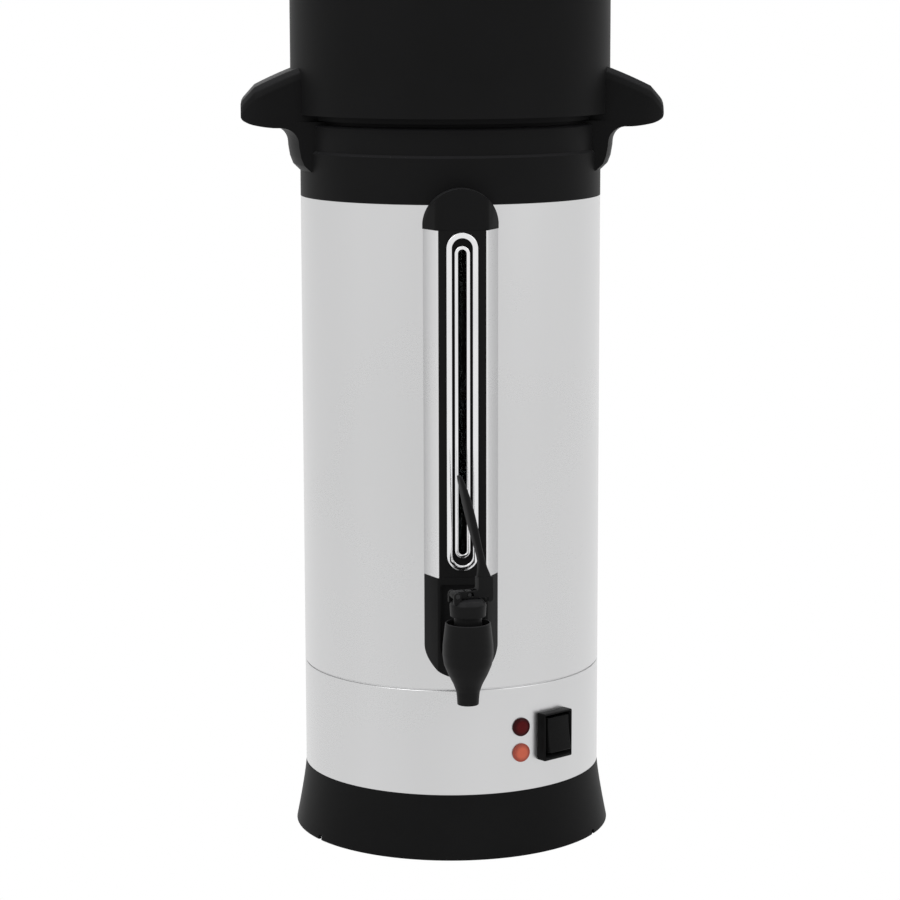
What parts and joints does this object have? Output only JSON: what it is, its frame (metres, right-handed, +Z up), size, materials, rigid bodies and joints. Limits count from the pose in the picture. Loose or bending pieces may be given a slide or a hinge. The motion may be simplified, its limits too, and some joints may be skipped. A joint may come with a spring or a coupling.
{
  "type": "coffee urn",
  "caption": "Electric coffee urn: upright steel tank on a black base, arched lid handle, side grips, level gauge, self-closing tap, rocker switch and indicator lamps.",
  "frame": {"origin": "centre of the footprint, on the surface that the feet stand on, below the tank axis", "axes": "+Z up along the tank axis; the tap and level gauge face -Y; the side grips lie along X, with the switch towards +X"},
  "size_m": [0.278, 0.285, 0.5333],
  "materials": {
    "steel": "satin polished stainless steel",
    "black_body": "moulded black plastic, soft sheen",
    "black_tap": "moulded black plastic, soft sheen",
    "black_switch": "moulded black plastic",
    "bright_trim": "bright chrome plate",
    "basket_steel": "spun stainless steel",
    "fastener_steel": "zinc and stainless fasteners",
    "rubber": "black rubber",
    "silicone": "translucent white silicone",
    "sight_glass": "clear glass tube",
    "heater_alloy": "cast aluminium",
    "heater_steel": "sheathed heating element",
    "ceramic": "ceramic switch body",
    "brass": "brass terminals",
    "lens_boil": "dark red lamp lens",
    "lens_warm": "orange-red lamp lens"
  },
  "bodies": {
    "urn": {"base_ring": "black_body", "base_plate": "black_switch", "base_screws": "fastener_steel", "feet": "rubber", "skirt": "steel", "tank": "steel", "heater_plate": "heater_alloy", "heater_element": "heater_steel", "tie_rod": "fastener_steel", "thermostat": "ceramic", "thermal_cutout": "black_switch", "terminal_block": "black_switch", "wiring": "rubber", "cord_gland": "black_switch", "gland_nut": "black_switch", "grip_right": "black_body", "grip_left": "black_body", "grip_screws": "fastener_steel", "gauge_channel": "steel", "gauge_strip": "black_body", "gauge_ring_outer": "bright_trim", "gauge_ring_inner": "bright_trim", "sight_tube": "sight_glass", "gauge_fitting": "silicone", "gauge_cap": "black_body", "cap_screw": "fastener_steel", "tap_housing": "black_body", "tap_body": "black_tap", "tap_nut": "black_tap", "tap_washer": "silicone", "switch_housing": "black_switch", "switch_tabs": "brass", "lamp_boil": "lens_boil", "lamp_warm": "lens_warm", "lamp_holders": "black_switch", "pump_tube": "basket_steel", "coffee_basket": "basket_steel", "basket_cover": "basket_steel"},
    "seal": {"lid_seal": "silicone"},
    "lid": {"lid": "black_body", "lid_handle": "black_body", "lid_screws": "fastener_steel"},
    "bonnet": {"tap_bonnet": "black_tap", "fulcrum_pin": "fastener_steel"},
    "lever": {"tap_lever": "black_tap"},
    "stem": {"tap_stem": "fastener_steel", "stem_pin": "fastener_steel", "seat_cup": "silicone", "tap_spring": "fastener_steel"},
    "rocker": {"switch_rocker": "black_switch"}
  },
  "joints": [
    {"name": "lid_lift", "type": "slide", "parent": "urn", "child": "seal", "axis": [0, 0, 1], "range_m": [0, 0.06]},
    {"name": "lid_turn", "type": "hinge", "parent": "seal", "child": "lid", "pos_m": [0, 0, 0.485], "axis": [0, 0, 1], "range_deg": [0, 30]},
    {"name": "tap_swivel", "type": "hinge", "parent": "urn", "child": "bonnet", "pos_m": [0, -0.16, 0.182], "axis": [0, 0, 1], "range_deg": [-15, 160]},
    {"name": "lever_pull", "type": "hinge", "parent": "bonnet", "child": "lever", "pos_m": [-0.00856, -0.16278, 0.191], "axis": [0.309, -0.9511, 0], "range_deg": [0, 28], "stiffness_Nm_per_rad": 0.12, "springref_deg": -17.19},
    {"name": "stem_lift", "type": "slide", "parent": "bonnet", "child": "stem", "axis": [0, 0, 1], "range_m": [0, 0.0048], "deforming": ["tap_spring"]},
    {"name": "rocker_tilt", "type": "hinge", "parent": "urn", "child": "rocker", "pos_m": [0.06249, -0.07998, 0.0786], "axis": [0.788, 0.6157, 0], "range_deg": [0, 14]}
  ],
  "couplings": [
    {"joint": "stem_lift", "follows": "lever_pull", "m_per_rad": 0.00979}
  ]
}
